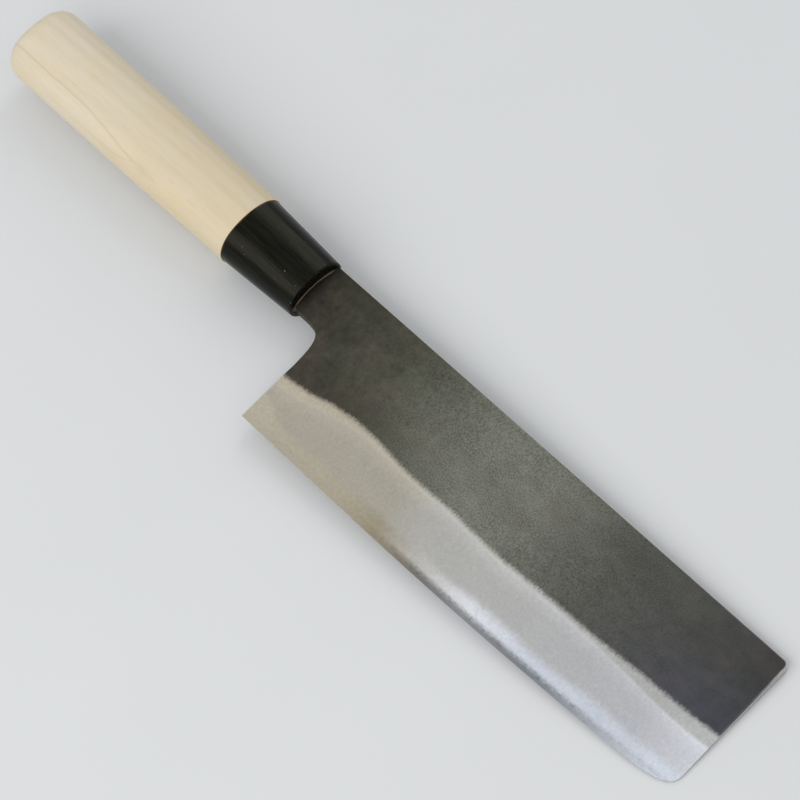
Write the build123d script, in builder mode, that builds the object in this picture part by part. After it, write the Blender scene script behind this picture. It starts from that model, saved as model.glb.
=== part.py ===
from build123d import *
import os
from math import atan2, cos, radians, sin, sqrt, tan

os.makedirs("parts", exist_ok=True)

# A vegetable knife with a straight, tall blade, lying on its left side. Lengths are in millimetres.
# +X runs from the butt to the tip, +Y from the cutting edge to the spine, and +Z out of the right face.
# The blade is three forge-welded layers, driven by its tang into an oval wooden handle with a ferrule.

# Blade seen from the side. Heights are measured from the handle's axis.
blade_length = 165.0  # heel to tip
heel_height = 51.5  # spine to edge at the heel
neck_length = 13.7  # front of the ferrule to the heel
neck_height = 18.1
neck_gap = 0.25  # left open between the neck's shoulders and the ferrule
spine_above_axis = 9.6
spine_rise = 1.7  # the spine drifts away from the axis by this much at the tip
edge_flat_length = 44.0  # the edge is straight over this length from the heel
edge_rise = 4.35  # and then sweeps up by this much at the tip
tip_lean = 1.6  # the tip's upper corner stands back by this much
heel_lean = 0.25  # and the back of the heel leans this much towards the neck
tip_corner_run = 21.0  # the rounded corner between edge and tip takes this much of the edge
tip_corner_climb = 6.2  # and this much of the tip
# How far the poles of the corner's curve lie from its ends, towards where edge and tip would meet
tip_corner_shares = (0.81, 0.80)
nose_radius = 2.0
shoulder_radius = 1.0
notch_depth = 8.4  # the finger notch between neck and heel, along the neck
notch_height = 13.2  # and down the heel
# Poles of the notch's curve: how far back from the heel, and how far down from the neck
notch_shares = ((1.0, 0.0), (0.17, 0.02), (0.07, 0.20), (0.0, 1.0))

# Blade seen from the spine
neck_thickness = 3.6
tip_thickness = 2.4
flat_taper = 1.0  # thickness that the flats lose from the spine down to the edge's height
core_thickness = 1.0
eased_arris = 0.35

# Ground bevel, the same on both faces. Its upper line wanders where the hollows of the hammer were met.
bevel_height = 20.5
shoulder_width = 2.0  # soft band just under the line
shoulder_swell = 0.04
edge_thickness = 0.08
final_bevel_height = 1.6
final_bevel_thickness = 0.45
grind_overrun = 3.0
# Each row is a place along the blade, the height of the line there, and the width of the soft band.
bevel_shares = (
    (-0.04, 0.77, 1.25),
    (0.05, 0.84, 1.20),
    (0.11, 0.96, 1.10),
    (0.20, 1.03, 0.70),
    (0.28, 0.99, 0.50),
    (0.40, 1.00, 0.50),
    (0.50, 0.97, 0.60),
    (0.64, 1.01, 0.80),
    (0.80, 1.02, 1.50),
    (0.91, 1.00, 2.10),
    (1.04, 1.02, 2.40),
)

# Tang
tang_length = 88.0  # behind the front of the ferrule
tang_root_height = 11.5
tang_root_thickness = 3.1
tang_end_height = 6.5
tang_end_thickness = 2.0
tang_clearance = 0.1

# Handle and ferrule
handle_length = 124.7  # butt to the front of the ferrule
butt_height = 25.6
butt_thickness = 19.0
butt_radius = 5.8
belly_height = 25.3
belly_thickness = 20.2
joint_height = 23.8  # wood where the ferrule begins
joint_thickness = 20.0
oval_end_share = 0.95  # radius at the oval's ends, as a share of half its thickness
ferrule_length = 28.1
ferrule_taper = 3.0  # degrees, on every side
ferrule_step = 0.2  # the ferrule stands in from the wood by this much
ferrule_rim_radius = 0.6
ferrule_end_wall = 1.0  # at the front, where the bore comes nearest to the outside
tenon_thickness = 8.0
tenon_recess = 0.2
glue_clearance = 0.05

# Places that follow from the sizes
tip_along = neck_length + blade_length
edge_level = spine_above_axis - heel_height
neck_underside = spine_above_axis - neck_height
belly_along = -(handle_length + ferrule_length) / 2
ferrule_front_height = joint_height - 2 * (ferrule_step + ferrule_length * tan(radians(ferrule_taper)))
tenon_height = ferrule_front_height - 2 * ferrule_end_wall
overall_length = handle_length + tip_along
origin_along = overall_length / 2 - handle_length
origin_level = (edge_level + butt_height / 2) / 2
axis_height = belly_thickness / 2
mid_plane = Plane(origin=(-origin_along, -origin_level, axis_height))


def across(along):
    """Plane square to the handle's axis, this far in front of the ferrule: x is height, y is thickness."""
    return Plane(
        origin=mid_plane.from_local_coords((along, 0, 0)), x_dir=(0, 1, 0), z_dir=(1, 0, 0)
    )


def oval(height, thickness):
    """Closed outline of the handle's section: four arcs that meet without a corner."""
    end_radius = oval_end_share * thickness / 2
    end_centre = height / 2 - end_radius
    side_radius = (end_centre**2 + thickness**2 / 4 - end_radius**2) / (thickness - 2 * end_radius)
    side_centre = side_radius - thickness / 2
    turn = atan2(end_centre, side_centre)
    up = side_radius * sin(turn)
    out = side_radius * cos(turn) - side_centre
    with BuildLine() as outline:
        ThreePointArc((up, out), (height / 2, 0), (up, -out))
        ThreePointArc((up, -out), (0, -thickness / 2), (-up, -out))
        ThreePointArc((-up, -out), (-height / 2, 0), (-up, out))
        ThreePointArc((-up, out), (0, thickness / 2), (up, out))
    return outline.line


# Cutting edge: a straight line from the heel, then one long arc up to the tip.
sweep_start = neck_length + edge_flat_length
sweep_run = tip_along - sweep_start
sweep_radius = (sweep_run**2 + edge_rise**2) / (2 * edge_rise)


def edge_height(along):
    """Height of the cutting edge at a place along the blade."""
    run = max(along - sweep_start, 0)
    return edge_level + sweep_radius - sqrt(sweep_radius**2 - run**2)


# The flats are true planes that come together towards the tip and the edge.
fall_down = flat_taper / 2 / heel_height
fall_along = (neck_thickness / 2 - tip_thickness / 2 + fall_down * spine_rise) / (tip_along - neck_gap)


def flat_depth(along, level):
    """Half of the thickness between the flats."""
    return (
        neck_thickness / 2
        - fall_along * (along - neck_gap)
        - fall_down * (spine_above_axis - level)
    )


# Steel that the wheel takes off the right face, as one solid lofted through stations along the blade
with BuildPart() as right_grind:
    for place_share, line_share, band_share in bevel_shares:
        station = neck_length + place_share * blade_length
        edge = edge_height(station)
        line = edge + bevel_height * line_share
        line_depth = flat_depth(station, line)
        band = line - shoulder_width * band_share
        final = edge + final_bevel_height
        slope = (line_depth - final_bevel_thickness / 2) / (line - final)
        band_depth = line_depth - slope * (line - band) + shoulder_swell
        band_slope = (line_depth - band_depth) / (line - band)
        foot_slope = (final_bevel_thickness - edge_thickness) / 2 / final_bevel_height
        foot_drop = edge_thickness / foot_slope / 4
        with BuildSketch(across(station)):
            with BuildLine():
                Polyline(
                    (edge - foot_drop, edge_thickness / 2 - foot_slope * foot_drop),
                    (final, final_bevel_thickness / 2),
                    (band, band_depth),
                    (line + grind_overrun, line_depth + band_slope * grind_overrun),
                    (line + grind_overrun, neck_thickness),
                    (edge - foot_drop, neck_thickness),
                    close=True,
                )
            make_face()
    loft()

# The whole blade, before it is told apart into its layers
with BuildPart() as blade:
    with BuildSketch(mid_plane):
        heel = (neck_length, edge_level)
        sweep_foot = (sweep_start, edge_level)
        tip_foot = (tip_along, edge_level + edge_rise)
        nose = (tip_along - tip_lean, spine_above_axis + spine_rise)
        tip_direction = Vector(nose) - Vector(tip_foot)
        corner_along = tip_along - tip_corner_run
        neck_top = (neck_gap, spine_above_axis)
        neck_foot = (neck_gap, neck_underside)
        notch_along = neck_length - heel_lean
        notch_points = [
            (notch_along - notch_depth * back_share, neck_underside - notch_height * down_share)
            for back_share, down_share in notch_shares
        ]
        with BuildLine():
            Line(heel, sweep_foot)
            sweep_end = (corner_along, edge_height(corner_along))
            sweep = TangentArc(sweep_foot, sweep_end, tangent=(1, 0))
            tip_line = PolarLine(tip_foot, tip_corner_climb, direction=tip_direction, mode=Mode.PRIVATE)
            Bezier(
                sweep @ 1,
                sweep @ 1 + sweep % 1 * tip_corner_run * tip_corner_shares[0],
                tip_line @ (1 - tip_corner_shares[1]),
                tip_line @ 1,
            )
            Polyline(tip_line @ 1, nose, neck_top, neck_foot, notch_points[0])
            Bezier(*notch_points)
            Line(notch_points[-1], heel)
        make_face()
        for corner, radius in (
            (nose, nose_radius),
            (neck_top, shoulder_radius),
            (neck_foot, shoulder_radius),
        ):
            fillet(vertices().sort_by_distance(corner)[0], radius)
    extrude(amount=neck_thickness, both=True)

    # Flats, and the arrises of the spine, which are eased with a stone
    spine_line = Vector(nose[0] - neck_gap, spine_rise)
    out_of_spine = Vector(-spine_line.Y, spine_line.X).normalized()
    for side in (1, -1):
        arris = mid_plane.from_local_coords(Vector(neck_gap, spine_above_axis, side * neck_thickness / 2))
        out_of_flat = Vector(fall_along, -fall_down, side).normalized()
        between = (out_of_flat + out_of_spine).normalized()
        split(bisect_by=Plane(arris, z_dir=out_of_flat), keep=Keep.BOTTOM)
        split(bisect_by=Plane(arris - between * eased_arris / sqrt(2), z_dir=between), keep=Keep.BOTTOM)

    # Ground bevels
    add(right_grind.part, mode=Mode.SUBTRACT)
    add(mirror(right_grind.part, about=mid_plane, mode=Mode.PRIVATE), mode=Mode.SUBTRACT)

    # Tang, drawn down from the neck
    for along, height, thickness in (
        (neck_gap, tang_root_height, tang_root_thickness),
        (-tang_length, tang_end_height, tang_end_thickness),
    ):
        with BuildSketch(across(along)):
            Rectangle(height, thickness)
    loft()

# The layers lie face to face on two planes, one on each side of the hard core.
core_top = mid_plane.offset(core_thickness / 2)
core_bottom = mid_plane.offset(-core_thickness / 2)

with BuildPart() as blade_core:
    add(blade.part)
    split(bisect_by=core_top, keep=Keep.BOTTOM)
    split(bisect_by=core_bottom, keep=Keep.TOP)
blade_core.part.label = "blade_core"
export_step(blade_core.part, "parts/blade_core.step")

with BuildPart() as blade_cladding_right:
    add(blade.part)
    split(bisect_by=core_top, keep=Keep.TOP)
blade_cladding_right.part.label = "blade_cladding_right"
export_step(blade_cladding_right.part, "parts/blade_cladding_right.step")

with BuildPart() as blade_cladding_left:
    add(blade.part)
    split(bisect_by=core_bottom, keep=Keep.BOTTOM)
blade_cladding_left.part.label = "blade_cladding_left"
export_step(blade_cladding_left.part, "parts/blade_cladding_left.step")

# Handle: an oval bar, planed in two straight tapers that meet at a slight belly, with a rounded butt
with BuildPart() as handle:
    for along, height, thickness in (
        (-ferrule_length, joint_height, joint_thickness),
        (belly_along, belly_height, belly_thickness),
        (-handle_length, butt_height, butt_thickness),
    ):
        with BuildSketch(across(along)):
            add(oval(height, thickness))
            make_face()
    loft(ruled=True)
    fillet(edges().group_by(Axis.X)[0], butt_radius)

    # Tenon, cut down to go through the ferrule
    with BuildSketch(across(-ferrule_length)):
        Ellipse(tenon_height / 2, tenon_thickness / 2)
    extrude(amount=ferrule_length - tenon_recess)

    # Blind slot, burnt out by the hot tang
    for along, height, thickness in (
        (neck_gap, tang_root_height, tang_root_thickness),
        (-tang_length, tang_end_height, tang_end_thickness),
    ):
        with BuildSketch(across(along)):
            Rectangle(height + 2 * tang_clearance, thickness + 2 * tang_clearance)
    loft(mode=Mode.SUBTRACT)
handle.part.label = "handle"
export_step(handle.part, "parts/handle.step")

# Ferrule: a tapered oval ring over the tenon, against the shoulder of the wood
with BuildPart() as ferrule:
    with BuildSketch(across(-ferrule_length)):
        add(oval(joint_height - 2 * ferrule_step, joint_thickness - 2 * ferrule_step))
        make_face()
    extrude(amount=ferrule_length, taper=ferrule_taper)
    fillet(edges().group_by(Axis.X)[-1], ferrule_rim_radius)
    with BuildSketch(across(-ferrule_length)):
        Ellipse(tenon_height / 2 + glue_clearance, tenon_thickness / 2 + glue_clearance)
    extrude(amount=ferrule_length, mode=Mode.SUBTRACT)
ferrule.part.label = "ferrule"
export_step(ferrule.part, "parts/ferrule.step")
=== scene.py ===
# %% [markdown]
# # A vegetable knife, dressed for its picture
# The shapes of this knife are made already: three layers of steel and iron, a ferrule and a handle
# come in as one fixed model. This lesson sets up a camera, a table and soft light, and then gives
# every piece the finish that the real one has: a forged skin, ground steel, polished horn and bare
# wood. Blender measures in metres, and the lesson speaks of millimetres wherever a maker would.

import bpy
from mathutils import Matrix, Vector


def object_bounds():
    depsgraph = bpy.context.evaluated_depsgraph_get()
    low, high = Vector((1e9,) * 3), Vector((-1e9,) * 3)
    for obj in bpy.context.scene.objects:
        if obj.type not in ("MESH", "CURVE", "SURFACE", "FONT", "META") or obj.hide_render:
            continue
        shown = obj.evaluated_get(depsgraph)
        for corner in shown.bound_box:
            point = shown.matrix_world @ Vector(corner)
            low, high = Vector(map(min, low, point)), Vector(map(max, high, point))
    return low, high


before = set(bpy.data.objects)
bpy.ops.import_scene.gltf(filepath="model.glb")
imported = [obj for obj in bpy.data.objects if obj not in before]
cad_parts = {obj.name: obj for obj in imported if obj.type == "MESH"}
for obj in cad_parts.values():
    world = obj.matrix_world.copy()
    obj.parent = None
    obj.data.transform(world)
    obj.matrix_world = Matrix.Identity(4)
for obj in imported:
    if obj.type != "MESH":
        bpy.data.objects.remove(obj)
model_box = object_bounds()
print("pieces:", ", ".join(sorted(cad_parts)))

# %% Tools used all through
from math import cos, pi, radians, sin

import bpy
from mathutils import Matrix, Vector

MM = 0.001
scene = bpy.context.scene
scene.view_settings.view_transform = "Standard"
model_size = [round((high - low) / MM, 1) for low, high in zip(*model_box)]
print("the knife measures", model_size, "mm")

# %% [markdown]
# ## The camera
# The picture was taken from above the right face of the blade, with a long lens, and with the camera
# turned so that the knife lies across the square from corner to corner. A camera can be placed by
# its own coordinates, or from the thing it looks at. Here it is described from the knife outwards,
# because each number then means one thing: a point to look at, a distance, two angles for the
# direction, and how far the camera is turned about its own line of sight. A long lens keeps the
# outline almost as true as a drawing.

# %% Place the camera
MIDDLE_PLANE = 10.1  # height of the plane that halves the blade and the handle
LOOK_AT = Vector((15.787, 7.256, MIDDLE_PLANE)) * MM
CAMERA_DISTANCE = 1.0354  # in metres, as Blender measures
CAMERA_AZIMUTH = radians(58.371)
CAMERA_ELEVATION = radians(64.072)
CAMERA_ROLL = radians(13.270)
LENS = 164.62  # focal length in millimetres
NEAREST_SEEN = 0.01  # in metres


def camera_axes(azimuth, elevation, roll):
    """Right, up and backward directions of a camera that stands round the knife."""
    backward = Vector(
        (sin(azimuth) * cos(elevation), -cos(azimuth) * cos(elevation), sin(elevation))
    )
    level = Vector((cos(azimuth), sin(azimuth), 0))
    above = backward.cross(level)
    right = level * cos(roll) - above * sin(roll)
    return right, above * cos(roll) + level * sin(roll), backward


right, up, backward = camera_axes(CAMERA_AZIMUTH, CAMERA_ELEVATION, CAMERA_ROLL)
camera = bpy.data.objects.new("camera", bpy.data.cameras.new("camera"))
scene.collection.objects.link(camera)
camera.matrix_world = Matrix((right, up, backward)).transposed().to_4x4()
camera.location = LOOK_AT + backward * CAMERA_DISTANCE
camera.data.lens = LENS
camera.data.clip_start = NEAREST_SEEN
scene.camera = camera
print("the camera stands", round(camera.location.z / MM), "mm above the knife")

# %% [markdown]
# ## The table
# A knife that is laid down on its side doesn't lie level. The handle is much thicker than the blade,
# so the knife rests on the side of the handle and on the tip. The model keeps its own straight
# frame, so here the table leans instead of the knife: two small angles give its slope, and its
# height is measured, by pushing it up until it touches the lowest point. The table is seen from
# above only, so that a camera under it still finds the knife.

# %% Lean the table until it touches handle and tip
LEAN_ALONG = 0.04166  # how much it climbs towards the tip
LEAN_ACROSS = -0.02984  # and towards the spine
table_up = Vector((-LEAN_ALONG, -LEAN_ACROSS, 1)).normalized()


def clearance(node):
    """Least height of a piece over a table through the origin."""
    return min(table_up.dot(corner.co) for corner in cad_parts[node].data.vertices)


table_height = min(clearance(node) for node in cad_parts)
for node in ("handle", "blade_cladding_left"):
    print(node, "clears the table by", round((clearance(node) - table_height) / MM, 3), "mm")

# %% Make the table
TABLE_REACH = 6.0  # metres from its middle to each side

table_mesh = bpy.data.meshes.new("table")
table_side = Vector((1, 0, 0)).cross(table_up).normalized()
table_front = table_up.cross(table_side)
corners = [
    table_up * table_height + (table_side * across + table_front * along) * TABLE_REACH
    for across, along in ((1, 1), (1, -1), (-1, -1), (-1, 1))
]
table_mesh.from_pydata(corners, [], [(0, 1, 2, 3)])
if table_mesh.polygons[0].normal.dot(table_up) < 0:
    table_mesh.flip_normals()
table = bpy.data.objects.new("table", table_mesh)
scene.collection.objects.link(table)
print("the table faces", [round(c, 3) for c in table_mesh.polygons[0].normal])

# %% [markdown]
# ## A bench for finishes
# Every finish here is a material made of nodes: small machines that each do one sum or one pattern.
# They could be wired by hand, one by one, but that takes many lines and hides the idea. This bench
# adds a node, feeds its sockets and hands back what comes out, so that a finish reads like a recipe.
# Places are given to the nodes in millimetres on the knife itself, so a pattern stays on the piece
# from every side. The bench is built in three steps: wires, sums, and then patterns and colours.

# %% Nodes and wires


class Bench:
    """One material in the making. Each method adds a node and returns what comes out of it."""

    def __init__(self, name):
        self.material = bpy.data.materials.new(name)
        self.material.use_nodes = True
        self.tree = self.material.node_tree
        self.shader = self.tree.nodes["Principled BSDF"]
        metres = self.add("ShaderNodeTexCoord").outputs["Object"]
        self.spot = self.vector("SCALE", metres, scale=1 / MM)
        self.along, self.across, self.up = self.parts(self.spot)

    def add(self, kind, *feeds, **settings):
        """Add a node, with its settings, and feed its first sockets in order."""
        node = self.tree.nodes.new(kind)
        for setting, value in settings.items():
            setattr(node, setting, value)
        for socket, value in zip(node.inputs, feeds):
            self.feed(socket, value)
        return node

    def feed(self, socket, value):
        """Wire an output into a socket, or write a plain value there."""
        if isinstance(value, bpy.types.NodeSocket):
            self.tree.links.new(value, socket)
        else:
            socket.default_value = value

    def put(self, **feeds):
        """Feed the shader's own sockets, named in small letters."""
        sockets = {socket.name.lower().replace(" ", "_"): socket for socket in self.shader.inputs}
        for name, value in feeds.items():
            self.feed(sockets[name], value)

    def vector(self, operation, *values, scale=1.0):
        """A sum on three numbers at once, such as a place."""
        node = self.add("ShaderNodeVectorMath", *values, operation=operation)
        node.inputs[3].default_value = scale
        return node.outputs[0]

    def parts(self, vector):
        """The three numbers of a place or a direction: along, across and up."""
        return self.add("ShaderNodeSeparateXYZ", vector).outputs

    def facing(self, normal):
        """Which way the surface faces, along, across and up."""
        return self.parts(self.add("ShaderNodeNewGeometry").outputs[normal])


print("first the bench can:", ", ".join(name for name in vars(Bench) if name[0] != "_"))

# %% Sums and soft steps


class SumBench(Bench):
    """The bench, with sums on numbers."""

    def sum(self, operation, *values):
        return self.add("ShaderNodeMath", *values, operation=operation).outputs[0]

    def times(self, first, second):
        return self.sum("MULTIPLY", first, second)

    def minus(self, first, second):
        return self.sum("SUBTRACT", first, second)

    def length(self, first, second):
        """The long side of a right triangle, from its two short sides."""
        squares = [self.sum("POWER", side, 2.0) for side in (first, second)]
        return self.sum("SQRT", self.sum("ADD", *squares))

    def blend(self, base, *parts):
        """base plus each part times its weight."""
        total = base
        for part, weight in parts:
            total = self.sum("MULTIPLY_ADD", part, weight, total)
        return total

    def rise(self, value, start, end):
        """0 at start, 1 at end, with a soft step between them; start may be the larger one."""
        node = self.add("ShaderNodeMapRange", value, interpolation_type="SMOOTHSTEP")
        ends = (start, end, 0.0, 1.0) if start < end else (end, start, 1.0, 0.0)
        for socket, number in zip(node.inputs[1:5], ends):
            socket.default_value = number
        return node.outputs[0]

    def ridge(self, value, centre, width):
        """1 where the value is at the centre, fading softly to 0 at that width on either side."""
        away = self.sum("ABSOLUTE", self.minus(value, centre))
        return self.minus(1.0, self.rise(away, 0.0, width))


print("then it can also:", ", ".join(name for name in vars(SumBench) if name[0] != "_"))

# %% Patterns, colours and relief


class Finish(SumBench):
    """The whole bench, with patterns, colours and relief."""

    def noise(self, size, detail=2.0, stretch=(1, 1, 1), shift=0.0, rough=0.5, output="Fac"):
        """Clouds whose blots are about size millimetres, drawn out by stretch, from 0 to 1."""
        scaled = self.vector("DIVIDE", self.spot, tuple(size * s for s in stretch))
        moved = self.vector("ADD", scaled, (shift, shift, shift))
        node = self.add("ShaderNodeTexNoise", moved)
        node.inputs["Scale"].default_value = 1.0
        node.inputs["Detail"].default_value = detail
        node.inputs["Roughness"].default_value = rough
        return node.outputs[output]

    def stray(self, *recipe):
        """A noise moved down by a half, so that it strays to both sides of 0."""
        return self.minus(self.noise(*recipe), 0.5)

    def dim(self, colour, share):
        """A colour made darker or lighter by a share."""
        node = self.add("ShaderNodeVectorMath", operation="SCALE")
        self.feed(node.inputs[0], colour[:3] if isinstance(colour, tuple) else colour)
        self.feed(node.inputs[3], share)
        return node.outputs[0]

    def tone(self, share, first, second, how="MIX"):
        """Colour that goes from first to second as share goes from 0 to 1."""
        node = self.add("ShaderNodeMix", data_type="RGBA", blend_type=how)
        self.feed(node.inputs[0], share)
        self.feed(node.inputs[6], first)
        self.feed(node.inputs[7], second)
        return node.outputs[2]

    def stain(self, colour, *stains):
        """Stains laid over a colour in turn, each with its share, its strength and its tone."""
        for share, strength, tone in stains:
            colour = self.tone(self.times(share, strength), colour, tone)
        return colour

    def mix(self, share, first, second):
        """Number that goes from first to second as share goes from 0 to 1."""
        node = self.add("ShaderNodeMix", share)
        self.feed(node.inputs[2], first)
        self.feed(node.inputs[3], second)
        return node.outputs[0]

    def ramp(self, value, *stops):
        """Colours at places from 0 to 1, blended between."""
        node = self.add("ShaderNodeValToRGB", value)
        while len(node.color_ramp.elements) < len(stops):
            node.color_ramp.elements.new(1.0)
        for element, (place, colour) in zip(list(node.color_ramp.elements), stops):
            element.position = place
            element.color = colour
        return node.outputs[0]

    def relief(self, height, depth):
        """Surface normal of a fine relief: height from 0 to 1 stands depth millimetres high."""
        node = self.add("ShaderNodeBump")
        node.inputs["Strength"].default_value = 1.0
        node.inputs["Distance"].default_value = depth * MM
        self.feed(node.inputs["Height"], height)
        return node.outputs[0]


print("and at last it can:", ", ".join(name for name in vars(Finish) if name[0] != "_"))

# %% Colours as the eye sees them


def seen(red, green, blue):
    """A colour as it is seen on a screen, from 0 to 255, as Blender's light sums need it."""
    parts = [value / 255 for value in (red, green, blue)]
    return tuple(
        part / 12.92 if part <= 0.04045 else ((part + 0.055) / 1.055) ** 2.4 for part in parts
    ) + (1.0,)


print("a middle grey of 128 is", round(seen(128, 128, 128)[0], 3), "in light sums")

# %% [markdown]
# ## A plain pale table top
# The table is only there to carry the knife and its shadow, so its finish is plain, pale and dull. A
# very faint cloud keeps it from looking like paper cut out of nothing. The camera sees through it
# from below, which a share of clear material on its back does without hiding the shadow above.

# %% The table's finish
PALE = (0.64, 0.65, 0.66)
PALER = tuple(part * 1.03 for part in PALE)

table_top = Finish("table_top")
table_top.put(
    base_color=table_top.tone(table_top.noise(60.0), PALE + (1.0,), PALER + (1.0,)),
    roughness=0.7,
)
path = table_top.add("ShaderNodeLightPath")
side = table_top.add("ShaderNodeNewGeometry")
from_below = table_top.times(path.outputs["Is Camera Ray"], side.outputs["Backfacing"])
clear = table_top.add("ShaderNodeBsdfTransparent")
choice = table_top.add(
    "ShaderNodeMixShader", from_below, table_top.shader.outputs[0], clear.outputs[0]
)
table_top.feed(table_top.tree.nodes["Material Output"].inputs[0], choice.outputs[0])
table.data.materials.append(table_top.material)
print("table top has", len(table_top.tree.nodes), "nodes")

# %% [markdown]
# ## Light
# A large soft panel hangs beside the cutting edge and gives the round handle a light and a shaded
# side. A narrow one hangs beside the spine. On the black ferrule each one shows as a streak, with a
# darker gap between them, which is how a polished round thing tells the eye that it is round. The
# room itself is pale and lights everything evenly. A bare bulb would throw hard shadows, so flat
# panels were chosen. Together they come to a plain level, at which a colour looks as it was written.

# %% Hang the panels


def panel(name, direction, distance, width, height, glow, colour):
    """A soft flat lamp that faces the knife, sized in metres. Its glow is how bright it looks."""
    lamp = bpy.data.lights.new(name, "AREA")
    lamp.shape = "RECTANGLE"
    lamp.size = width
    lamp.size_y = height
    lamp.energy = glow * width * height * pi
    lamp.color = colour
    holder = bpy.data.objects.new(name, lamp)
    towards = Vector(direction).normalized()
    holder.location = LOOK_AT + towards * distance
    holder.rotation_mode = "QUATERNION"
    holder.rotation_quaternion = towards.to_track_quat("Z", "Y")
    holder.visible_camera = False
    scene.collection.objects.link(holder)
    return holder


edge_panel = panel(
    "edge_panel", (0.0, -0.71, 0.70), distance=1.3,
    width=1.5, height=1.0, glow=2.2, colour=(1.0, 0.99, 0.97),
)
spine_panel = panel(
    "spine_panel", (-0.28, 0.74, 0.61), distance=1.4,
    width=0.5, height=0.95, glow=1.9, colour=(0.97, 0.985, 1.0),
)
for lamp in (edge_panel, spine_panel):
    print(lamp.name, "hangs at", [round(c, 2) for c in lamp.location])

# %% Light the room
room = bpy.data.worlds.new("room")
room.use_nodes = True
walls = room.node_tree.nodes["Background"]
walls.inputs["Color"].default_value = PALE + (1.0,)
walls.inputs["Strength"].default_value = 1.0
scene.world = room
print("the room is as pale as the table:", PALE)

# %% [markdown]
# ## Where things are on the blade
# The finishes of the blade follow two lines: the cutting edge, and the line where the grinding
# stops. The edge runs straight from the heel and then sweeps up in one long arc. The ground line
# wanders, because the smith's hammer left hollows and hills that the wheel met sooner or later. Both
# lines could be painted on, but they are worked out here from the sizes of the knife, as sums on the
# place along the blade, so that they fall exactly where its shape has them.

# %% Sizes of the blade
HEEL = -13.3  # places along the knife, from the butt towards the tip
BLADE_LENGTH = 165.0
SWEEP_START = 30.7
SWEEP_RADIUS = 1685.1
EDGE_LEVEL = -27.35
BEVEL_HEIGHT = 20.5
SOFT_BAND = 2.0
# A place along the blade, the height of the ground line there, and the width of the soft band
LINE, BAND = 1, 2
BEVEL_SHARES = (
    (-0.04, 0.77, 1.25),
    (0.05, 0.84, 1.20),
    (0.11, 0.96, 1.10),
    (0.20, 1.03, 0.70),
    (0.28, 0.99, 0.50),
    (0.40, 1.00, 0.50),
    (0.50, 0.97, 0.60),
    (0.64, 1.01, 0.80),
    (0.80, 1.02, 1.50),
    (0.91, 1.00, 2.10),
    (1.04, 1.02, 2.40),
)
line_heights = [round(row[LINE] * BEVEL_HEIGHT, 1) for row in BEVEL_SHARES]
print("the ground line stands", min(line_heights), "to", max(line_heights), "mm over the edge")

# %% The edge and the ground line as sums
LARGEST_SHARE = 2.5  # a curve node holds 0 to 1, so the shares are divided by this and multiplied back


def above_edge(finish):
    """Millimetres above the cutting edge, at each place on the blade."""
    run = finish.sum("MAXIMUM", finish.minus(finish.along, SWEEP_START), 0.0)
    climb = finish.sum("DIVIDE", finish.times(run, run), 2 * SWEEP_RADIUS)
    return finish.minus(finish.minus(finish.across, EDGE_LEVEL), climb)


def from_heel(finish):
    """How far along the blade a place is: 0 at the heel and 1 at the tip."""
    return finish.sum("DIVIDE", finish.minus(finish.along, HEEL), BLADE_LENGTH)


def along_curve(finish, reach, column, size):
    """One column of the shares, times a size, as a smooth curve along the blade."""
    start, end = BEVEL_SHARES[0][0], BEVEL_SHARES[-1][0]
    node = finish.add(
        "ShaderNodeFloatCurve", 1.0, finish.sum("DIVIDE", finish.minus(reach, start), end - start)
    )
    points = node.mapping.curves[0].points
    for row in BEVEL_SHARES[1:-1]:
        points.new((row[0] - start) / (end - start), row[column] / LARGEST_SHARE)
    points[0].location = (0.0, BEVEL_SHARES[0][column] / LARGEST_SHARE)
    points[-1].location = (1.0, BEVEL_SHARES[-1][column] / LARGEST_SHARE)
    node.mapping.update()
    return finish.times(node.outputs[0], LARGEST_SHARE * size)


print("curves carry", len(BEVEL_SHARES), "points each")

# %% [markdown]
# ## Ground steel
# Below the ground line the blade is bare metal, left by a fine wheel and a stone. Seen closely it is
# a field of tiny scratches that run from the edge up towards the line. Its tone isn't even: partly
# its own and partly a painted reflection, it is a warm grey near the heel and a cool one near the
# tip, and the hard steel along the edge takes a higher polish and is painted brighter. The last few
# millimetres, where the final bevel tilts away, get a painted shade and look dull and a little
# mottled along the middle of the blade. The iron and the steel could have a recipe each, but then
# the soft change from one to the other would be cut off where the two pieces meet, so one recipe
# serves both.

# %% Tones of soft iron and hard steel, with a painted reflection


def iron_tone_and_reflection(finish, reach):
    """Soft iron's tone with a painted reflection, from the warm heel to the cool tip."""
    return finish.ramp(
        reach,
        (0.0, seen(187, 178, 164)),
        (0.31, seen(186, 181, 167)),
        (0.39, seen(194, 192, 187)),
        (0.52, seen(196, 195, 192)),
        (0.80, seen(198, 198, 200)),
        (0.88, seen(201, 201, 205)),
        (1.0, seen(224, 226, 232)),
    )


def steel_tone_and_reflection(finish, reach):
    """Hard steel with a painted reflection: creamy near the heel, bright and bluish from the middle
    on.
    """
    return finish.ramp(
        reach,
        (0.0, seen(199, 191, 173)),
        (0.24, seen(187, 179, 160)),
        (0.32, seen(174, 165, 143)),
        (0.42, seen(205, 202, 197)),
        (0.54, seen(240, 242, 247)),
        (0.70, seen(221, 226, 236)),
        (0.88, seen(219, 224, 233)),
        (1.0, seen(230, 236, 246)),
    )


print("both tones run over", BLADE_LENGTH, "mm of blade")

# %% Where the hard steel shows
HARD_LAYER_HEIGHT = 5.8  # how far over the edge the hard layer comes to the surface


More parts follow.
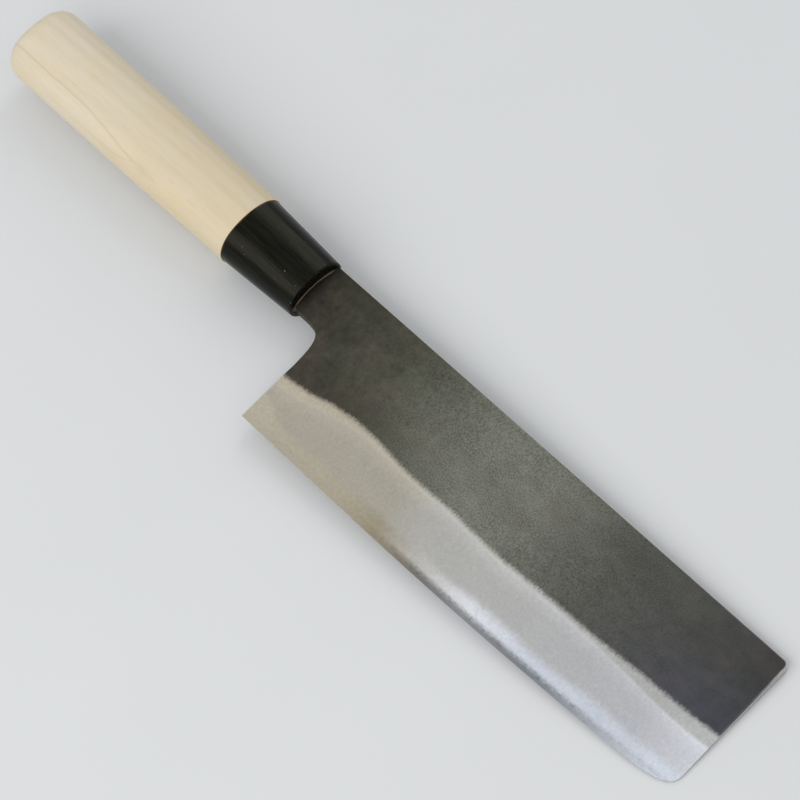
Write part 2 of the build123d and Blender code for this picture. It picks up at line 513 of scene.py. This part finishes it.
def hard_layer(finish, reach, height):
    """1 on the hard steel along the edge and 0 on the soft iron, with a soft, flecked border."""
    wander = finish.stray(9.0, 2.0, (1.8, 1, 1))
    flecks = finish.stray(1.3, 3.0, (1.3, 1, 1), 19.0, 0.6)
    near_heel = finish.rise(reach, 0.06, 0.0)
    over_hard = finish.blend(height, (wander, 3.0), (near_heel, -3.5), (flecks, 1.8))
    crisp = finish.blend(1.0, (finish.rise(reach, 0.30, 0.05), 1.0))
    return finish.rise(finish.times(finish.minus(over_hard, HARD_LAYER_HEIGHT), crisp), 1.8, -1.8)


print("hard steel shows up to about", HARD_LAYER_HEIGHT, "mm over the edge")

# %% The dull strip of the final bevel, with painted shade
STRIP_TOP, STRIP_FULL = 3.1, 0.7  # millimetres over the edge where it starts and where it is full


def edge_strip_shade(finish, reach, height):
    """Share of painted shade on the final bevel, which tilts away, with a painted dark line at its
    crease.
    """
    mottle = finish.stray(0.7, 3.0, (1.4, 1, 1), 15.0, 0.6)
    strip = finish.rise(finish.blend(height, (mottle, 1.4)), STRIP_TOP, STRIP_FULL)
    middle = finish.times(finish.rise(reach, 0.26, 0.46), finish.rise(reach, 1.02, 0.66))
    spots = finish.rise(finish.noise(0.9, 3.0, (1.6, 1, 1), 35.0, 0.6), 0.48, 0.64)
    upper_end = finish.times(finish.ridge(height, 1.8, 1.3), finish.rise(reach, 0.30, 0.42))
    # a painted dark line along the strip's upper crease
    painted_dark_line = finish.times(upper_end, finish.blend(0.03, (spots, 0.15)))
    return finish.blend(painted_dark_line, (strip, finish.blend(0.06, (middle, 0.60))))


print("the strip fades out", STRIP_TOP, "mm over the edge")

# %% Ground steel, all together
GROUND_ROUGHNESS, GROUND_UNEVEN = 0.33, 0.16  # the least of it, and what the grain adds


def ground_steel(finish, reach, height):
    """Colour, roughness and scratches of the ground bevel, given the height above the edge."""
    hard_share = hard_layer(finish, reach, height)
    colour = finish.tone(hard_share, iron_tone_and_reflection(finish, reach), steel_tone_and_reflection(finish, reach))
    scratches = finish.noise(0.16, 2.0, (1, 16, 16), 3.0)
    grain = finish.noise(0.6, 2.0, (1, 1.6, 1), 9.0)
    patches = finish.noise(11.0, 2.0, (1.5, 1, 1), 7.0)
    shade = finish.blend(0.74, (scratches, 0.14), (grain, 0.26), (patches, 0.12))
    dulled_and_shaded = edge_strip_shade(finish, reach, height)
    # over the heel half the strip's painted shade is also tinted warm
    colour = finish.stain(colour, (finish.rise(reach, 0.50, 0.32), dulled_and_shaded, seen(190, 168, 138)))
    shade = finish.times(shade, finish.minus(1.0, dulled_and_shaded))
    roughness = finish.blend(GROUND_ROUGHNESS, (grain, GROUND_UNEVEN))
    return finish.dim(colour, shade), roughness, scratches


most_rough = round(GROUND_ROUGHNESS + GROUND_UNEVEN, 2)
print("the roughness of ground steel goes from", GROUND_ROUGHNESS, "to", most_rough)

# %% [markdown]
# ## The soft band
# The wheel doesn't stop at a sharp line. Just under the forged skin it ran out softly and left a
# band in short brushed strokes, a millimetre wide along the middle of the blade and nearly five at
# the tip. At the heel it is a little paler than the bevel, partly by a painted glow, and towards the
# tip it is duller and creamier. A painted highlight, a fine bright line, marks its lower side. It is
# measured down from the ground line, so it follows that line however it wanders.

# %% The soft band under the ground line


def soft_band(finish, reach, colour, under, width):
    """The ground colour with the soft band laid over it, given the distance under the line."""
    lower_side = finish.minus(under, width)
    # painted highlights: a soft glow over the band and below it, and a fine bright line at its lower
    # side
    glow = finish.rise(lower_side, 5.0, 0.0)
    painted_shine = finish.ridge(lower_side, 0.1, 1.1)
    inside = finish.rise(lower_side, 0.6, -0.9)
    colour = finish.dim(colour, finish.blend(1.0, (glow, 0.13), (painted_shine, 0.07)))
    cream = finish.ramp(
        reach,
        (0.0, (1.08, 1.07, 1.02, 1.0)),
        (0.25, (1.02, 1.01, 0.98, 1.0)),
        (0.52, (0.99, 0.99, 0.97, 1.0)),
        (0.68, (0.88, 0.87, 0.84, 1.0)),
        (0.88, (0.83, 0.82, 0.77, 1.0)),
        (1.0, (0.72, 0.71, 0.66, 1.0)),
    )
    strokes = finish.noise(0.38, 3.0, (1, 4, 4), 33.0, 0.65)
    brushed = finish.blend(0.77, (strokes, 0.44))
    creamy = finish.dim(finish.tone(1.0, colour, cream, "MULTIPLY"), brushed)
    return finish.tone(inside, colour, creamy)


band_widths = [round(row[BAND] * SOFT_BAND, 1) for row in BEVEL_SHARES]
print("the soft band is", band_widths, "mm wide along the blade")

# %% [markdown]
# ## Worn corners, with a painted highlight
# Hands, cloths and the drawer rub the skin away where the spine meets the flat, and most of all
# round the nose, the upper corner of the tip. The bright rim there is also a painted highlight. Wear
# could be found from how sharply the surface bends, but these corners are only just eased. So two
# distances are taken instead, to the spine and to the tip, and joined by the rule for a rounded
# corner.

# %% Distance from the spine and the tip
SPINE_AT_HEEL = 24.28
SPINE_CLIMB = 1.59  # from heel to tip
TIP_SLANT = 0.0328  # how far the tip leans back for each millimetre of height
TIP_RISE = 4.35  # how far the sweep has lifted the edge at the tip
NOSE_RADIUS = 2.0  # the rounded corner between spine and tip


def past_outline(finish, reach):
    """Millimetres past the spine or the tip, below 0 on the blade, with the nose rounded."""
    spine = finish.blend(SPINE_AT_HEEL, (reach, SPINE_CLIMB))
    past_spine = finish.minus(finish.across, spine)
    tip_at_foot = HEEL + BLADE_LENGTH + TIP_SLANT * (EDGE_LEVEL + TIP_RISE)
    past_tip = finish.minus(finish.blend(finish.along, (finish.across, TIP_SLANT)), tip_at_foot)
    from_corner = [
        finish.sum("MAXIMUM", finish.sum("ADD", past, NOSE_RADIUS), 0.0)
        for past in (past_spine, past_tip)
    ]
    return finish.minus(finish.length(*from_corner), NOSE_RADIUS)


print("the nose is rounded to", NOSE_RADIUS, "mm")

# %% How much the rim is rubbed and painted bright
RIM_START, RIM_END = -0.45, 0.1  # millimetres past the outline, between which the wear sets in
WORN_AND_LIT_ALL_OVER, WORN_AND_LIT_AT_TIP, WORN_AND_LIT_AT_NOSE = 0.12, 0.33, 0.45  # each adds to the one before


def rim_wear_and_highlight(finish, reach):
    """Share of the skin rubbed off and painted bright as a highlight: little over the heel, most at
    the nose.
    """
    rub = finish.noise(1.2, 3.0, (3, 1, 1), 51.0, 0.6)
    past = finish.blend(past_outline(finish, reach), (rub, 0.4))
    rim = finish.rise(past, RIM_START, RIM_END)
    upper = finish.rise(finish.across, 8.0, 20.0)
    uppermost = finish.rise(finish.across, 17.0, 25.0)
    towards_tip = finish.times(finish.rise(reach, 0.35, 1.0), upper)
    at_nose = finish.times(finish.rise(reach, 0.955, 1.0), uppermost)
    wear_and_highlight = finish.blend(WORN_AND_LIT_ALL_OVER, (towards_tip, WORN_AND_LIT_AT_TIP), (at_nose, WORN_AND_LIT_AT_NOSE))
    return finish.times(rim, wear_and_highlight)


most_worn_and_lit = WORN_AND_LIT_ALL_OVER + WORN_AND_LIT_AT_TIP + WORN_AND_LIT_AT_NOSE
# the bright rim is partly a painted highlight, not only rubbed-off skin
print("at the nose", round(100 * most_worn_and_lit), "in 100 parts of the skin are rubbed off")

# %% [markdown]
# ## Forged skin
# Above the ground line the iron keeps the skin of the fire: a hard, dull scale, nearly black, with a
# fine grain, pits, and brownish, greenish and bluish clouds. A painted sheen makes it lightest along
# the middle of the blade, and it is darkest at the neck, where it is also smeared and slightly rusty.
# The bluish tip is partly a painted reflection and the scorched heel partly painted shade. One noise
# alone would look like stone. So the skin is built up in the order in which the real one came about:
# a tone along the blade, stains over it, clouds and grain, and then pits, soot with a painted shadow
# by the ferrule, and wear with a painted highlight along the spine and the nose.

# %% The skin's tone along the blade, with a painted sheen
SKIN_START = -28.0  # just inside the ferrule
SKIN_LENGTH = HEEL + BLADE_LENGTH - SKIN_START


def skin_tone_and_sheen(finish, skin_reach):
    """Dark at the neck, then a painted sheen, lightest before the middle, fading to dark grey at the
    tip.
    """
    return finish.ramp(
        skin_reach,
        (0.0, seen(47, 46, 37)),
        (0.10, seen(61, 61, 51)),
        (0.20, seen(76, 76, 64)),
        (0.42, seen(116, 117, 107)),
        (0.53, seen(114, 115, 105)),
        (0.70, seen(84, 85, 79)),
        (1.0, seen(61, 62, 62)),
    )


print("the skin is", round(SKIN_LENGTH, 1), "mm long with the neck")

# %% Stains on the skin


def stained_skin(finish, over, skin_reach, near_neck):
    """The skin's tone with reddish clouds, rust at the neck, a bluish tip that is partly a painted
    reflection, and a scorched heel that is partly painted shade.
    """
    reddish = finish.rise(finish.noise(8.0, 3.0, (1.3, 1, 1), 21.0), 0.46, 0.70)
    # bluish towards the tip: a stain, and partly a painted cool reflection
    bluish = finish.times(finish.rise(over, 20.0, 3.0), finish.rise(skin_reach, 0.66, 0.95))
    # scorched over the heel, and partly painted shade there
    scorched = finish.times(finish.rise(over, 13.0, 2.0), finish.rise(skin_reach, 0.40, 0.15))
    rust_clouds = finish.rise(finish.noise(5.5, 3.0, (1, 1.2, 1), 71.0, 0.6), 0.48, 0.68)
    return finish.stain(
        skin_tone_and_sheen(finish, skin_reach),
        (reddish, 0.22, seen(96, 84, 80)),
        (bluish, 0.60, seen(76, 77, 86)),
        (scorched, 0.60, seen(64, 59, 51)),
        (finish.times(rust_clouds, near_neck), 0.26, seen(82, 72, 62)),
    )


# two of these four are partly painted light: the bluish tip and the scorched heel
print("four stains lie on the skin")

# %% Clouds, smears and grain
GRAINY_FROM, GRAINY_TO = 0.36, 0.60  # shares of the skin's length, between which grain shows most


def skin_shade(finish, skin_reach, near_neck, blots, speckle):
    """How light each place of the skin is: clouds and blots, a fine grain, smears at the neck."""
    clouds = finish.noise(13.0, 3.0, (1.5, 1, 1), 5.0)
    middle = finish.times(
        finish.rise(skin_reach, 0.10, GRAINY_FROM), finish.rise(skin_reach, 0.95, GRAINY_TO)
    )
    grainy = finish.times(finish.minus(speckle, 0.5), finish.blend(0.35, (middle, 0.85)))
    smears = finish.times(finish.stray(2.4, 3.0, (1, 1.2, 1), 61.0, 0.62), near_neck)
    return finish.blend(0.5, (clouds, 0.55), (blots, 0.45), (grainy, 1.3), (smears, 1.1))


grainy_places = [round(SKIN_START + share * SKIN_LENGTH) for share in (GRAINY_FROM, GRAINY_TO)]
print("the grain shows most between the places", grainy_places)

# %% Forged skin, all together
SKIN_ROUGHNESS, SKIN_UNEVEN = 0.44, 0.22  # the least of it, and what the grain adds


def forged_skin(finish, reach, over):
    """Colour, roughness and grain of the scale, given the distance over the ground line."""
    skin_reach = finish.sum("DIVIDE", finish.minus(finish.along, SKIN_START), SKIN_LENGTH)
    near_neck = finish.rise(skin_reach, 0.42, 0.06)
    blots = finish.noise(3.4, 3.0, (1.3, 1, 1), 11.0, 0.6)
    speckle = finish.noise(0.44, 1.0, (1, 1.2, 1), 2.0, 0.7)
    shade = skin_shade(finish, skin_reach, near_neck, blots, speckle)
    pits = finish.rise(finish.noise(1.4, 3.0, (2, 1, 1), 31.0), 0.68, 0.76)
    # soot by the ferrule, which is also a painted shadow where the neck goes into it
    soot_and_shade = finish.rise(finish.blend(finish.along, (blots, 3.0)), -22.5, -26.0)
    colour = finish.stain(
        finish.dim(stained_skin(finish, over, skin_reach, near_neck), shade),
        (pits, 0.35, seen(40, 38, 34)),
        (soot_and_shade, 0.60, seen(34, 34, 34)),
        # bright rim: skin rubbed off, and a painted highlight
        (rim_wear_and_highlight(finish, reach), 1.0, seen(190, 190, 188)),
    )
    return colour, finish.blend(SKIN_ROUGHNESS, (speckle, SKIN_UNEVEN)), speckle


most_rough = round(SKIN_ROUGHNESS + SKIN_UNEVEN, 2)
print("the roughness of forged skin goes from", SKIN_ROUGHNESS, "to", most_rough)

# %% [markdown]
# ## Bare back and ends
# The back of the blade, its tip and its heel were filed square and their corners eased, so bright
# metal shows there as a thin line round the dark skin. Only the notch under the neck kept its scale.
# These faces could be picked out one by one, but the mesh must stay as it is. So the finish asks
# which way the surface faces, which tells the narrow faces from the broad ones.

# %% Filed metal on the narrow faces
NOTCH_END = HEEL - 0.5


def filed_share(finish):
    """1 on the back, the ends and the eased corners, and 0 on the broad faces and in the notch."""
    narrow = finish.rise(finish.sum("ABSOLUTE", finish.facing("True Normal")[2]), 0.97, 0.85)
    past_notch = finish.rise(finish.along, NOTCH_END - 0.2, NOTCH_END + 0.2)
    over_notch = finish.rise(finish.across, 22.0, 23.5)
    return finish.times(narrow, finish.sum("MAXIMUM", past_notch, over_notch))


def filed_metal(finish, tone):
    """Colour of filed metal, with file strokes across the thickness."""
    strokes = finish.noise(0.25, 2.0, (1, 1, 6), 41.0)
    return finish.dim(tone, finish.blend(0.8, (strokes, 0.4)))


print("the notch ends at the place", round(NOTCH_END, 1))

# %% [markdown]
# ## The blade's layers
# Now the recipes come together. The iron sides carry skin, soft band and ground steel. The skin ends
# in a fringe, because the wheel's scratches run across the line and cut the scale in short strokes.
# Near the heel the wheel reached half a millimetre over the line, and two thirds of the way on it
# stopped as far below. The hard core shows as ground steel along the edge and as a slightly brighter
# stripe down the middle of the filed back, between the two layers of iron.

# %% The frayed lower border of the skin
BORDER_START, BORDER_END = -1.15, 0.95  # millimetres over the ground line


def skin_cover(finish, reach, over):
    """0 where the wheel took the skin off and 1 where it is left, with a frayed border."""
    fringe = finish.stray(0.34, 3.0, (1, 4, 4), 12.0, 0.65)
    ragged = finish.stray(1.6, 4.0, (1, 1, 1), 17.0, 0.65)
    ground_more = finish.rise(reach, 0.24, 0.12)
    ground_less = finish.ridge(reach, 0.71, 0.18)
    frayed = finish.blend(
        over, (fringe, 2.2), (ragged, 1.0), (ground_more, -0.45), (ground_less, 0.6)
    )
    return finish.rise(frayed, BORDER_START, BORDER_END)


print("the border is", round(BORDER_END - BORDER_START, 1), "mm wide")

# %% The blade's finishes


def blade_finish(name, filed_tone):
    """One finish that knows every part of the blade's surface."""
    finish = Finish(name)
    reach = from_heel(finish)
    height = above_edge(finish)
    ground_line = along_curve(finish, reach, LINE, BEVEL_HEIGHT)
    over, under = finish.minus(height, ground_line), finish.minus(ground_line, height)
    ground, ground_roughness, scratches = ground_steel(finish, reach, height)
    ground = soft_band(finish, reach, ground, under, along_curve(finish, reach, BAND, SOFT_BAND))
    skin, skin_roughness, speckle = forged_skin(finish, reach, over)
    skin_share = skin_cover(finish, reach, over)
    filed = filed_share(finish)
    colour = finish.tone(skin_share, ground, skin)
    roughness = finish.mix(skin_share, ground_roughness, skin_roughness)
    skin_left = finish.times(skin_share, finish.minus(1.0, filed))
    height_of_grain = finish.mix(skin_share, finish.blend(0.4, (scratches, 0.2)), speckle)
    finish.put(
        base_color=finish.tone(filed, colour, filed_metal(finish, filed_tone)),
        metallic=finish.blend(1.0, (skin_left, -0.5)),
        specular_ior_level=0.2,
        roughness=finish.mix(filed, roughness, 0.38),
        normal=finish.relief(height_of_grain, 0.012),
    )
    return finish.material


core_steel = blade_finish("core_steel", seen(214, 215, 218))
cladding_iron = blade_finish("cladding_iron", seen(190, 188, 182))
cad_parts["blade_core"].material_slots[0].material = core_steel
for name in ("blade_cladding_right", "blade_cladding_left"):
    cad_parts[name].material_slots[0].material = cladding_iron
print("each blade finish has", len(cladding_iron.node_tree.nodes), "nodes")

# %% [markdown]
# ## Polished horn
# The ferrule is black horn, turned smooth and buffed. Nearly all that the eye gets from it is
# reflection, so its own colour is close to black. A plain black gloss would look like a billiard
# ball, so it gets what a hand-buffed piece has: a low, slightly uneven roughness, and faint waves
# along the horn's grain, left by sanding lengthwise, which break the long highlights into streaks. A
# hair of brown shows where it meets the wood, partly glue and partly a painted reflection of the
# wood, and a few specks of dust stuck.

# %% The ferrule's finish
FERRULE_BACK = -55.1
horn = Finish("polished_horn")
streaks = horn.noise(0.9, 3.0, (14, 1, 1))
waves = horn.noise(2.4, 2.0, (16, 1, 1), 6.0)
rub = horn.noise(3.0, 3.0, (2, 1, 1), 4.0)
# a brown line at the back edge: glue, and a painted reflection of the wood in the horn
glue_and_reflection = horn.rise(horn.along, FERRULE_BACK + 0.6, FERRULE_BACK + 0.1)
patchy = horn.rise(horn.noise(3.0, 2.0), 0.30, 0.60)
dust = horn.rise(horn.noise(1.0, 0.0, (1, 1, 1), 57.0), 0.83, 0.86)
horn_tone = horn.tone(horn.rise(streaks, 0.3, 0.7), seen(3, 4, 3), seen(19, 20, 15))
horn.put(
    base_color=horn.stain(
        horn_tone, (glue_and_reflection, patchy, seen(78, 50, 30)), (dust, 0.25, seen(150, 148, 138))
    ),
    roughness=horn.blend(0.14, (rub, 0.16), (dust, 0.3)),
    ior=1.22,
    specular_tint=(1.0, 0.98, 0.76, 1.0),
    normal=horn.relief(horn.blend(0.0, (waves, 0.75), (streaks, 0.25)), 0.12),
)
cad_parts["ferrule"].material_slots[0].material = horn.material
print("horn has", len(horn.tree.nodes), "nodes")

# %% [markdown]
# ## Bare wood
# The handle is a pale, straight-grained wood, sanded and left without oil. Stretched noise on its
# surface would do from one side, but wood is layers round the heart of a tree, so its pattern is
# best made as a solid: the distance from a heart line that runs beside the handle, cut into rings.
# Where the round surface follows a ring the pattern widens into long pointed figures, and the butt
# shows arcs, all without any painting.

# %% Rings round a far heart
RING = 3.1
HEART_ACROSS, HEART_UP = 62.0, -38.0
wood = Finish("bare_wood")
slow_bends = wood.noise(26.0, 2.0, (5, 1, 1), output="Color")
bent = wood.vector("ADD", wood.spot, wood.vector("SCALE", slow_bends, scale=2.5))
bent_along, bent_across, bent_up = wood.parts(bent)
from_heart = wood.length(wood.minus(HEART_ACROSS, bent_across), wood.minus(bent_up, HEART_UP))
from_heart = wood.blend(from_heart, (bent_along, 0.018))
ring = wood.sum("FRACT", wood.sum("DIVIDE", from_heart, RING))
late_wood = wood.ridge(ring, 0.62, 0.38)
heart_distance = (HEART_ACROSS**2 + HEART_UP**2) ** 0.5
print("the heart is", round(heart_distance), "mm away and rings are", RING, "mm wide")

# %% The wood's colour
EARLY_WOOD, LATE_WOOD = (212, 200, 177), (198, 184, 156)
RING_STRENGTH = 0.5


def stained_wood(tint, share, stain):
    """The tint as it is, and multiplied by a stain where the share is 1."""
    return wood.tone(share, tint, wood.tone(1.0, tint, stain + (1.0,), "MULTIPLY"))


drift = wood.noise(16.0, 2.0, (6, 1, 1), 8.0)
strength = wood.times(drift, RING_STRENGTH)
tint = wood.stain(seen(*EARLY_WOOD), (late_wood, strength, seen(*LATE_WOOD)))
warm_clouds = wood.rise(wood.noise(7.0, 3.0, (3, 1, 1), 27.0), 0.42, 0.68)
tint = stained_wood(tint, warm_clouds, (1.0, 0.975, 0.92))
tint = stained_wood(tint, wood.rise(wood.along, -135.0, -62.0), (0.95, 0.93, 0.87))
streak = wood.noise(2.6, 4.0, (24, 1, 1), 14.0, 0.6)
tint = wood.dim(tint, wood.blend(0.92, (streak, 0.16)))
pores = wood.rise(wood.noise(0.24, 1.0, (26, 1, 1), 3.0), 0.58, 0.74)
tint = wood.stain(tint, (pores, 0.22, seen(172, 156, 128)))
end_grain = wood.rise(wood.sum("ABSOLUTE", wood.facing("Normal")[0]), 0.6, 0.95)
tint = stained_wood(tint, end_grain, (0.90, 0.87, 0.82))
darkest_ring = round((EARLY_WOOD[0] - LATE_WOOD[0]) * RING_STRENGTH)
print("rings are at most", darkest_ring, "steps darker on the screen's scale of 255")

# %% [markdown]
# ## One vein
# Plain as it is, the wood has one mark that the eye finds: a thin tan line from the butt along the
# upper side, with a fainter one beside it. Both come together in a soft smudge about halfway along
# the handle. The rings can't make a mark that is there only once, so it is drawn: each line is a
# narrow ridge round a level, and the level bends over to the fork.

# %% Two lines that meet at a fork
BUTT = -151.7
FORK = -92.0
VEIN_LEVEL, LOWER_VEIN_LEVEL, FORK_LEVEL = 7.0, 2.8, 4.6


def vein_line(level, bend_start, width):
    """A thin line at a level, which bends over to the fork."""
    share = wood.rise(wood.along, bend_start, FORK)
    waver = wood.stray(9.0, 2.0, (2, 1, 1), level)
    centre = wood.blend(level, (share, FORK_LEVEL - level), (waver, 0.9))
    return wood.ridge(wood.across, centre, width)


upper = wood.times(vein_line(VEIN_LEVEL, -122.0, 0.5), 0.24)
lower_part = wood.rise(wood.along, -116.0, -104.0)
lower = wood.times(vein_line(LOWER_VEIN_LEVEL, -103.0, 0.4), lower_part)
veins = wood.sum("MAXIMUM", upper, wood.times(lower, 0.15))
veins = wood.times(veins, wood.rise(wood.along, FORK + 3.0, FORK - 3.0))
print("the fork of the veins is", round(FORK - BUTT), "mm from the butt")

# %% The smudge, and both laid on the wood
SMUDGE = FORK + 2.0
SIDE_START, SIDE_FULL = 10.0, 12.0  # the veins show only on the side that faces up
smudge = wood.times(wood.ridge(wood.along, SMUDGE, 7.5), wood.ridge(wood.across, FORK_LEVEL, 1.6))
veins = wood.sum("MAXIMUM", veins, wood.times(smudge, 0.22))
tint = wood.stain(tint, (veins, wood.rise(wood.up, SIDE_START, SIDE_FULL), seen(160, 140, 102)))
print("the smudge lies", round(SMUDGE - BUTT), "mm from the butt")

# %% [markdown]
# ## The burnt front of the handle
# The tang was pushed hot into the wood, so the little that shows of the tenon, inside the front of
# the ferrule, is brown, and nearly black round the tang. The tenon's end is an oval, so its rim is
# found by measuring each way in halves of its own height and thickness.

# %% Burn the tenon's end and finish the wood
HANDLE_AXIS = 14.55
TENON_FRONT = -27.2
TENON_HEIGHT, TENON_THICKNESS = 18.45, 8.0
tenon_side = wood.sum("DIVIDE", wood.minus(wood.across, HANDLE_AXIS), TENON_HEIGHT / 2)
tenon_top = wood.sum("DIVIDE", wood.minus(wood.up, MIDDLE_PLANE), TENON_THICKNESS / 2)
to_rim = wood.length(tenon_side, tenon_top)
# brown over the tenon's end, nearly black round the tang
dark_round_tang = wood.tone(wood.rise(to_rim, 0.80, 0.66), seen(122, 104, 80), seen(14, 12, 10))
burnt = wood.rise(wood.along, TENON_FRONT - 1.2, TENON_FRONT - 0.6)
wood.put(
    base_color=wood.tone(burnt, tint, dark_round_tang),
    roughness=wood.blend(0.50, (pores, 0.15), (streak, 0.1)),
    normal=wood.relief(wood.blend(1.0, (pores, -0.6), (streak, 0.4)), 0.012),
)
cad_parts["handle"].material_slots[0].material = wood.material
print("wood has", len(wood.tree.nodes), "nodes")

# %% [markdown]
# ## The end
# Nothing above may change the size of the knife.

# %% The end
print("the lesson ends here")
